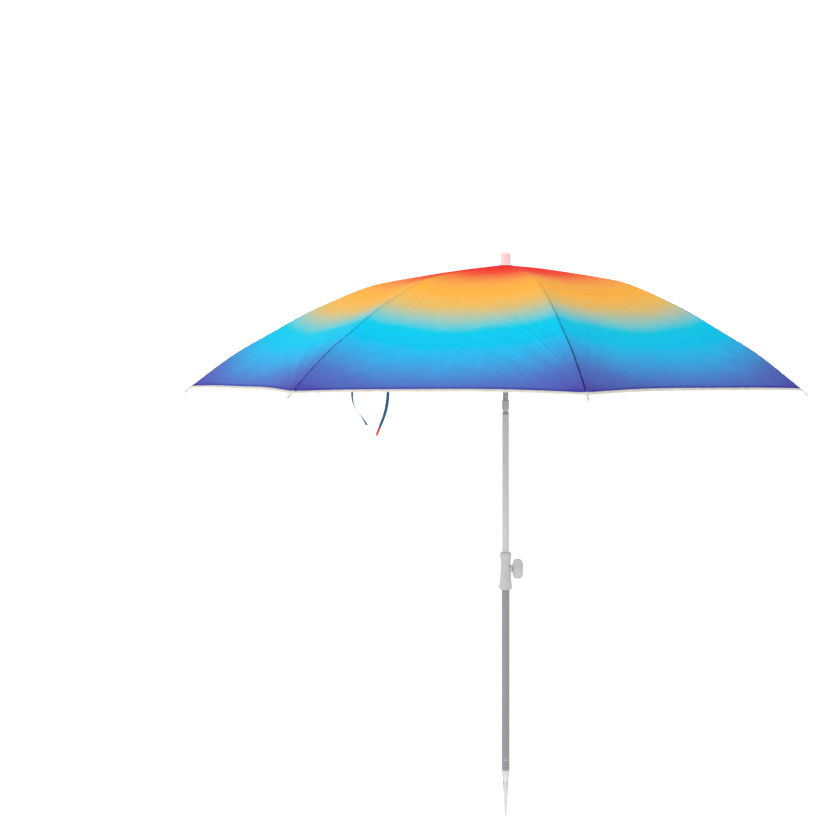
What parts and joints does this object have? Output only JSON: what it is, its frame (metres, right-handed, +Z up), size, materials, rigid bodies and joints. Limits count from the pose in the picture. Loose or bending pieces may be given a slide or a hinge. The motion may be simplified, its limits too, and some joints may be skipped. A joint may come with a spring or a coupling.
{
  "type": "beach umbrella",
  "caption": "Folding beach umbrella: domed panel canopy on hinged ribs, sliding runner, tilting two-part pole with clamp knob and ground spike.",
  "frame": {"origin": "on the pole's axis at the bottom end of the lower tube, where a stand or the sand takes it", "axes": "+Z up along the pole, +X towards the clamp knob, -Y towards the viewer"},
  "size_m": [1.6844, 1.6844, 1.559],
  "materials": {
    "lower_tube": "satin grey paint",
    "middle_tube": "satin light grey paint",
    "upper_tube": "bright plated",
    "tilt_metal": "plated, fine brushed",
    "hardware": "zinc plated",
    "clamp_plastic": "moulded, half gloss",
    "white_plastic": "moulded",
    "finial_plastic": "milky, half gloss",
    "rib_steel": "plated channel",
    "rib_rod": "fibreglass, satin",
    "canopy_fabric": "thin polyester with a dyed gradient",
    "binding": "white woven tape",
    "strap": "narrow woven ribbon"
  },
  "bodies": {
    "lower_pole": {"lower_tube": "lower_tube", "ground_spike": "white_plastic", "spike_rivet": "hardware", "clamp_body": "clamp_plastic", "clamp_pad": "hardware"},
    "clamp_knob": {"clamp_knob": "clamp_plastic", "clamp_screw": "hardware"},
    "middle_pole": {"middle_tube": "middle_tube", "tube_bush": "white_plastic", "tilt_fork": "tilt_metal", "fork_rivet": "hardware", "tilt_pin": "hardware"},
    "tilt_sleeve": {"tilt_sleeve": "tilt_metal"},
    "upper_pole": {"upper_tube": "upper_tube", "tilt_tongue": "tilt_metal", "tongue_rivet": "hardware", "crown_hub": "white_plastic", "crown_ring": "hardware", "crown_pin": "hardware", "finial": "finial_plastic", "center_patch": "binding", "canopy": "canopy_fabric", "hem_binding": "binding", "tie_strap_1": "strap", "tie_strap_2": "strap"},
    "runner_catch": {"runner_catch": "hardware"},
    "rib_inner_1": {"rib_inner_1": "rib_steel"},
    "rib_inner_2": {"rib_inner_2": "rib_steel"},
    "rib_inner_3": {"rib_inner_3": "rib_steel"},
    "rib_inner_4": {"rib_inner_4": "rib_steel"},
    "rib_inner_5": {"rib_inner_5": "rib_steel"},
    "rib_inner_6": {"rib_inner_6": "rib_steel"},
    "rib_inner_7": {"rib_inner_7": "rib_steel"},
    "rib_inner_8": {"rib_inner_8": "rib_steel"},
    "rib_outer_1": {"rib_outer_1": "rib_rod", "rib_tip_1": "white_plastic"},
    "rib_outer_2": {"rib_outer_2": "rib_rod", "rib_tip_2": "white_plastic"},
    "rib_outer_3": {"rib_outer_3": "rib_rod", "rib_tip_3": "white_plastic"},
    "rib_outer_4": {"rib_outer_4": "rib_rod", "rib_tip_4": "white_plastic"},
    "rib_outer_5": {"rib_outer_5": "rib_rod", "rib_tip_5": "white_plastic"},
    "rib_outer_6": {"rib_outer_6": "rib_rod", "rib_tip_6": "white_plastic"},
    "rib_outer_7": {"rib_outer_7": "rib_rod", "rib_tip_7": "white_plastic"},
    "rib_outer_8": {"rib_outer_8": "rib_rod", "rib_tip_8": "white_plastic"},
    "stretcher_1": {"stretcher_1": "rib_steel"},
    "stretcher_2": {"stretcher_2": "rib_steel"},
    "stretcher_3": {"stretcher_3": "rib_steel"},
    "stretcher_4": {"stretcher_4": "rib_steel"},
    "stretcher_5": {"stretcher_5": "rib_steel"},
    "stretcher_6": {"stretcher_6": "rib_steel"},
    "stretcher_7": {"stretcher_7": "rib_steel"},
    "stretcher_8": {"stretcher_8": "rib_steel"},
    "runner": {"runner": "white_plastic", "runner_ring": "hardware"}
  },
  "joints": [
    {"name": "pole_height", "type": "slide", "parent": "lower_pole", "child": "middle_pole", "axis": [0, 0, 1], "range_m": [-0.3, 0.05]},
    {"name": "pole_tilt", "type": "hinge", "parent": "middle_pole", "child": "upper_pole", "pos_m": [0, 0, 0.996], "axis": [0, 1, 0], "range_deg": [-30, 0]},
    {"name": "clamp_knob_turn", "type": "hinge", "parent": "lower_pole", "child": "clamp_knob", "pos_m": [0.02, 0, 0.555], "axis": [1, 0, 0], "range_deg": [0, 270]},
    {"name": "sleeve_lift", "type": "slide", "parent": "upper_pole", "child": "tilt_sleeve", "axis": [0, 0, 1], "range_m": [0, 0.015]},
    {"name": "catch_press", "type": "slide", "parent": "upper_pole", "child": "runner_catch", "axis": [-1, 0, 0], "range_m": [0, 0.0045], "stiffness_N_per_m": 400, "springref_m": -0.002},
    {"name": "canopy_fold", "type": "hinge", "parent": "upper_pole", "child": "rib_inner_1", "pos_m": [0.01764, 0.00359, 1.38678], "axis": [-0.1994, 0.9799, 0], "range_deg": [0, 73.77], "deforming": ["canopy", "hem_binding", "tie_strap_1", "tie_strap_2", "runner_catch"]},
    {"name": "rib_fold_2", "type": "hinge", "parent": "upper_pole", "child": "rib_inner_2", "pos_m": [0.00993, 0.01501, 1.38678], "axis": [-0.8339, 0.5519, 0], "range_deg": [0, 73.77]},
    {"name": "rib_fold_3", "type": "hinge", "parent": "upper_pole", "child": "rib_inner_3", "pos_m": [-0.00359, 0.01764, 1.38678], "axis": [-0.9799, -0.1994, 0], "range_deg": [0, 73.77]},
    {"name": "rib_fold_4", "type": "hinge", "parent": "upper_pole", "child": "rib_inner_4", "pos_m": [-0.01501, 0.00993, 1.38678], "axis": [-0.5519, -0.8339, 0], "range_deg": [0, 73.77]},
    {"name": "rib_fold_5", "type": "hinge", "parent": "upper_pole", "child": "rib_inner_5", "pos_m": [-0.01764, -0.00359, 1.38678], "axis": [0.1994, -0.9799, 0], "range_deg": [0, 73.77]},
    {"name": "rib_fold_6", "type": "hinge", "parent": "upper_pole", "child": "rib_inner_6", "pos_m": [-0.00993, -0.01501, 1.38678], "axis": [0.8339, -0.5519, 0], "range_deg": [0, 73.77]},
    {"name": "rib_fold_7", "type": "hinge", "parent": "upper_pole", "child": "rib_inner_7", "pos_m": [0.00359, -0.01764, 1.38678], "axis": [0.9799, 0.1994, 0], "range_deg": [0, 73.77]},
    {"name": "rib_fold_8", "type": "hinge", "parent": "upper_pole", "child": "rib_inner_8", "pos_m": [0.01501, -0.00993, 1.38678], "axis": [0.5519, 0.8339, 0], "range_deg": [0, 73.77]},
    {"name": "rib_flex_1", "type": "hinge", "parent": "rib_inner_1", "child": "rib_outer_1", "pos_m": [0.34787, 0.07078, 1.33187], "axis": [-0.1994, 0.9799, 0], "range_deg": [-17, 0]},
    {"name": "rib_flex_2", "type": "hinge", "parent": "rib_inner_2", "child": "rib_outer_2", "pos_m": [0.19594, 0.29603, 1.33187], "axis": [-0.8339, 0.5519, 0], "range_deg": [-17, 0]},
    {"name": "rib_flex_3", "type": "hinge", "parent": "rib_inner_3", "child": "rib_outer_3", "pos_m": [-0.07078, 0.34787, 1.33187], "axis": [-0.9799, -0.1994, 0], "range_deg": [-17, 0]},
    {"name": "rib_flex_4", "type": "hinge", "parent": "rib_inner_4", "child": "rib_outer_4", "pos_m": [-0.29603, 0.19594, 1.33187], "axis": [-0.5519, -0.8339, 0], "range_deg": [-17, 0]},
    {"name": "rib_flex_5", "type": "hinge", "parent": "rib_inner_5", "child": "rib_outer_5", "pos_m": [-0.34787, -0.07078, 1.33187], "axis": [0.1994, -0.9799, 0], "range_deg": [-17, 0]},
    {"name": "rib_flex_6", "type": "hinge", "parent": "rib_inner_6", "child": "rib_outer_6", "pos_m": [-0.19594, -0.29603, 1.33187], "axis": [0.8339, -0.5519, 0], "range_deg": [-17, 0]},
    {"name": "rib_flex_7", "type": "hinge", "parent": "rib_inner_7", "child": "rib_outer_7", "pos_m": [0.07078, -0.34787, 1.33187], "axis": [0.9799, 0.1994, 0], "range_deg": [-17, 0]},
    {"name": "rib_flex_8", "type": "hinge", "parent": "rib_inner_8", "child": "rib_outer_8", "pos_m": [0.29603, -0.19594, 1.33187], "axis": [0.5519, 0.8339, 0], "range_deg": [-17, 0]},
    {"name": "stretcher_joint_1", "type": "hinge", "parent": "rib_inner_1", "child": "stretcher_1", "pos_m": [0.34787, 0.07078, 1.31987], "axis": [-0.1994, 0.9799, 0], "range_deg": [-147.54, 0]},
    {"name": "stretcher_joint_2", "type": "hinge", "parent": "rib_inner_2", "child": "stretcher_2", "pos_m": [0.19594, 0.29603, 1.31987], "axis": [-0.8339, 0.5519, 0], "range_deg": [-147.54, 0]},
    {"name": "stretcher_joint_3", "type": "hinge", "parent": "rib_inner_3", "child": "stretcher_3", "pos_m": [-0.07078, 0.34787, 1.31987], "axis": [-0.9799, -0.1994, 0], "range_deg": [-147.54, 0]},
    {"name": "stretcher_joint_4", "type": "hinge", "parent": "rib_inner_4", "child": "stretcher_4", "pos_m": [-0.29603, 0.19594, 1.31987], "axis": [-0.5519, -0.8339, 0], "range_deg": [-147.54, 0]},
    {"name": "stretcher_joint_5", "type": "hinge", "parent": "rib_inner_5", "child": "stretcher_5", "pos_m": [-0.34787, -0.07078, 1.31987], "axis": [0.1994, -0.9799, 0], "range_deg": [-147.54, 0]},
    {"name": "stretcher_joint_6", "type": "hinge", "parent": "rib_inner_6", "child": "stretcher_6", "pos_m": [-0.19594, -0.29603, 1.31987], "axis": [0.8339, -0.5519, 0], "range_deg": [-147.54, 0]},
    {"name": "stretcher_joint_7", "type": "hinge", "parent": "rib_inner_7", "child": "stretcher_7", "pos_m": [0.07078, -0.34787, 1.31987], "axis": [0.9799, 0.1994, 0], "range_deg": [-147.54, 0]},
    {"name": "stretcher_joint_8", "type": "hinge", "parent": "rib_inner_8", "child": "stretcher_8", "pos_m": [0.29603, -0.19594, 1.31987], "axis": [0.5519, 0.8339, 0], "range_deg": [-147.54, 0]},
    {"name": "runner_joint", "type": "hinge", "parent": "stretcher_1", "child": "runner", "pos_m": [0.01764, 0.00359, 1.25296], "axis": [-0.1994, 0.9799, 0], "range_deg": [0, 73.77]}
  ],
  "couplings": [
    {"joint": "rib_fold_2", "follows": "canopy_fold", "ratio": 1},
    {"joint": "rib_fold_3", "follows": "canopy_fold", "ratio": 1},
    {"joint": "rib_fold_4", "follows": "canopy_fold", "ratio": 1},
    {"joint": "rib_fold_5", "follows": "canopy_fold", "ratio": 1},
    {"joint": "rib_fold_6", "follows": "canopy_fold", "ratio": 1},
    {"joint": "rib_fold_7", "follows": "canopy_fold", "ratio": 1},
    {"joint": "rib_fold_8", "follows": "canopy_fold", "ratio": 1},
    {"joint": "rib_flex_1", "follows": "canopy_fold", "ratio": -0.23045},
    {"joint": "rib_flex_2", "follows": "canopy_fold", "ratio": -0.23045},
    {"joint": "rib_flex_3", "follows": "canopy_fold", "ratio": -0.23045},
    {"joint": "rib_flex_4", "follows": "canopy_fold", "ratio": -0.23045},
    {"joint": "rib_flex_5", "follows": "canopy_fold", "ratio": -0.23045},
    {"joint": "rib_flex_6", "follows": "canopy_fold", "ratio": -0.23045},
    {"joint": "rib_flex_7", "follows": "canopy_fold", "ratio": -0.23045},
    {"joint": "rib_flex_8", "follows": "canopy_fold", "ratio": -0.23045},
    {"joint": "stretcher_joint_1", "follows": "canopy_fold", "ratio": -2},
    {"joint": "stretcher_joint_2", "follows": "canopy_fold", "ratio": -2},
    {"joint": "stretcher_joint_3", "follows": "canopy_fold", "ratio": -2},
    {"joint": "stretcher_joint_4", "follows": "canopy_fold", "ratio": -2},
    {"joint": "stretcher_joint_5", "follows": "canopy_fold", "ratio": -2},
    {"joint": "stretcher_joint_6", "follows": "canopy_fold", "ratio": -2},
    {"joint": "stretcher_joint_7", "follows": "canopy_fold", "ratio": -2},
    {"joint": "stretcher_joint_8", "follows": "canopy_fold", "ratio": -2},
    {"joint": "runner_joint", "follows": "canopy_fold", "ratio": 1}
  ]
}
